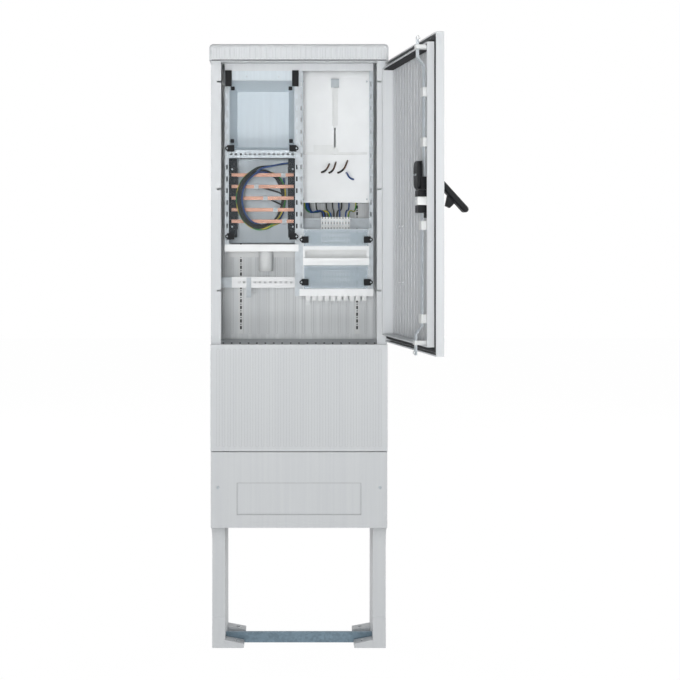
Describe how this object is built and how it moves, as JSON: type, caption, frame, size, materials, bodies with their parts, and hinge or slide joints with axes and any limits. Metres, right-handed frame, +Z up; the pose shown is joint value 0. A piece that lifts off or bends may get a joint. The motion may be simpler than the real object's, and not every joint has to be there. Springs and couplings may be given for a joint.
{
  "type": "distribution board",
  "caption": "Free-standing outdoor distribution board: fluted plastic pillar on a two-legged plinth, with a hinged rod-lock door, meter panel, busbars and terminal rows.",
  "frame": {"origin": "on the ground, midway between the four foot bolt holes, under the middle of the cabinet", "axes": "+Z up, +X to the right seen from the front, +Y to the back; the door opens towards -Y"},
  "size_m": [0.7977, 0.8769, 2.034],
  "materials": {
    "grp_light_grey": "moulded glass-filled polyester, light grey, semi-matt",
    "black_polyamide": "moulded black polyamide, semi-matt",
    "clear_polycarbonate": "clear polycarbonate sheet, faint blue-grey tint, glossy",
    "white_enamel": "white stove enamel on folded sheet",
    "pale_grey_plastic": "pale grey moulded plastic",
    "zinc_steel": "zinc-plated steel",
    "copper": "bare drawn copper bar",
    "black_insulation": "black wire insulation",
    "blue_insulation": "blue wire insulation",
    "green_yellow_insulation": "green and yellow wire insulation",
    "seal_rubber": "black sponge rubber"
  },
  "bodies": {
    "housing": {"black_wires": "black_insulation", "blue_wires": "blue_insulation", "busbar_base": "pale_grey_plastic", "busbar_clamps": "zinc_steel", "busbar_holders": "black_polyamide", "busbars": "copper", "cable_clamp_rail": "zinc_steel", "cable_sleeve": "pale_grey_plastic", "clamp_rail_bracket": "black_polyamide", "conductor_coil": "black_insulation", "cover_brackets": "black_polyamide", "din_rails": "zinc_steel", "earth_wire": "green_yellow_insulation", "floor_plate": "grp_light_grey", "foot_cross_bar": "zinc_steel", "frame_hinge_knuckles": "black_polyamide", "hanging_clamp": "black_polyamide", "hinge_pins": "zinc_steel", "left_clear_covers": "clear_polycarbonate", "left_leg": "grp_light_grey", "left_side_wall": "grp_light_grey", "lower_front_panel": "grp_light_grey", "meter_panel": "white_enamel", "meter_rail": "zinc_steel", "module_shelves": "white_enamel", "module_uprights": "zinc_steel", "outlet_terminals": "pale_grey_plastic", "plinth_front_cover": "grp_light_grey", "plinth_rear_cover": "grp_light_grey", "rear_mounting_rails": "zinc_steel", "rear_wall": "grp_light_grey", "right_leg": "grp_light_grey", "right_side_wall": "grp_light_grey", "roof_hood": "grp_light_grey", "row_clear_covers": "clear_polycarbonate", "row_frame": "white_enamel", "terminal_blocks": "pale_grey_plastic", "top_cross_rail": "grp_light_grey", "upper_box": "pale_grey_plastic"},
    "door": {"door_leaf": "grp_light_grey", "door_seal": "seal_rubber", "door_hinge_leaves": "black_polyamide", "handle_tray": "black_polyamide", "lock_case": "black_polyamide", "lock_insert": "pale_grey_plastic", "rod_guides": "pale_grey_plastic"},
    "handle_rotor": {"handle_rotor": "zinc_steel"},
    "handle_lever": {"handle_lever": "black_polyamide"},
    "upper_rod": {"upper_rod": "zinc_steel"},
    "lower_rod": {"lower_rod": "zinc_steel"},
    "meter_hook": {"meter_hook": "black_polyamide"},
    "meter_crossbar": {"meter_crossbar": "zinc_steel"},
    "upper_latch_left": {"upper_latch_left": "black_polyamide"},
    "upper_latch_right": {"upper_latch_right": "black_polyamide"},
    "busbar_latch_left": {"busbar_latch_left": "black_polyamide"},
    "busbar_latch_right": {"busbar_latch_right": "black_polyamide"},
    "row_upper_latch_left": {"row_upper_latch_left": "black_polyamide"},
    "row_upper_latch_right": {"row_upper_latch_right": "black_polyamide"},
    "row_lower_latch_left": {"row_lower_latch_left": "black_polyamide"},
    "row_lower_latch_right": {"row_lower_latch_right": "black_polyamide"}
  },
  "joints": [
    {"name": "door_swing", "type": "hinge", "parent": "housing", "child": "door", "pos_m": [0.293, -0.143, 1.507], "axis": [0, 0, 1], "range_deg": [-100.6, 19.4]},
    {"name": "handle_turn", "type": "hinge", "parent": "door", "child": "handle_rotor", "pos_m": [0.38498, -0.63447, 1.541], "axis": [-0.9829, -0.184, 0], "range_deg": [0, 90]},
    {"name": "handle_lift", "type": "hinge", "parent": "handle_rotor", "child": "handle_lever", "pos_m": [0.41741, -0.6284, 1.541], "axis": [0.184, -0.9829, 0], "range_deg": [-43.7, 0]},
    {"name": "upper_rod_slide", "type": "slide", "parent": "door", "child": "upper_rod", "axis": [0, 0, 1], "range_m": [0, 0.018]},
    {"name": "lower_rod_slide", "type": "slide", "parent": "door", "child": "lower_rod", "axis": [0, 0, -1], "range_m": [0, 0.018]},
    {"name": "meter_hook_slide", "type": "slide", "parent": "housing", "child": "meter_hook", "axis": [0, 0, 1], "range_m": [-0.12, 0]},
    {"name": "meter_crossbar_slide", "type": "slide", "parent": "housing", "child": "meter_crossbar", "axis": [0, 0, 1], "range_m": [0, 0.045]},
    {"name": "upper_latch_left_turn", "type": "hinge", "parent": "housing", "child": "upper_latch_left", "pos_m": [-0.243, -0.09, 1.691], "axis": [0, 1, 0], "range_deg": [0, 90]},
    {"name": "upper_latch_right_turn", "type": "hinge", "parent": "housing", "child": "upper_latch_right", "pos_m": [-0.0085, -0.09, 1.691], "axis": [0, 1, 0], "range_deg": [0, 90]},
    {"name": "busbar_latch_left_turn", "type": "hinge", "parent": "housing", "child": "busbar_latch_left", "pos_m": [-0.243, -0.09, 1.393], "axis": [0, 1, 0], "range_deg": [0, 90]},
    {"name": "busbar_latch_right_turn", "type": "hinge", "parent": "housing", "child": "busbar_latch_right", "pos_m": [-0.0085, -0.09, 1.393], "axis": [0, 1, 0], "range_deg": [0, 90]},
    {"name": "row_upper_latch_left_turn", "type": "hinge", "parent": "housing", "child": "row_upper_latch_left", "pos_m": [0.0085, -0.09, 1.382], "axis": [0, 1, 0], "range_deg": [0, 90]},
    {"name": "row_upper_latch_right_turn", "type": "hinge", "parent": "housing", "child": "row_upper_latch_right", "pos_m": [0.243, -0.09, 1.382], "axis": [0, 1, 0], "range_deg": [0, 90]},
    {"name": "row_lower_latch_left_turn", "type": "hinge", "parent": "housing", "child": "row_lower_latch_left", "pos_m": [0.0085, -0.09, 1.238], "axis": [0, 1, 0], "range_deg": [0, 90]},
    {"name": "row_lower_latch_right_turn", "type": "hinge", "parent": "housing", "child": "row_lower_latch_right", "pos_m": [0.243, -0.09, 1.238], "axis": [0, 1, 0], "range_deg": [0, 90]}
  ],
  "couplings": [
    {"joint": "upper_rod_slide", "follows": "handle_turn", "m_per_rad": 0.011459},
    {"joint": "lower_rod_slide", "follows": "handle_turn", "m_per_rad": 0.011459}
  ]
}
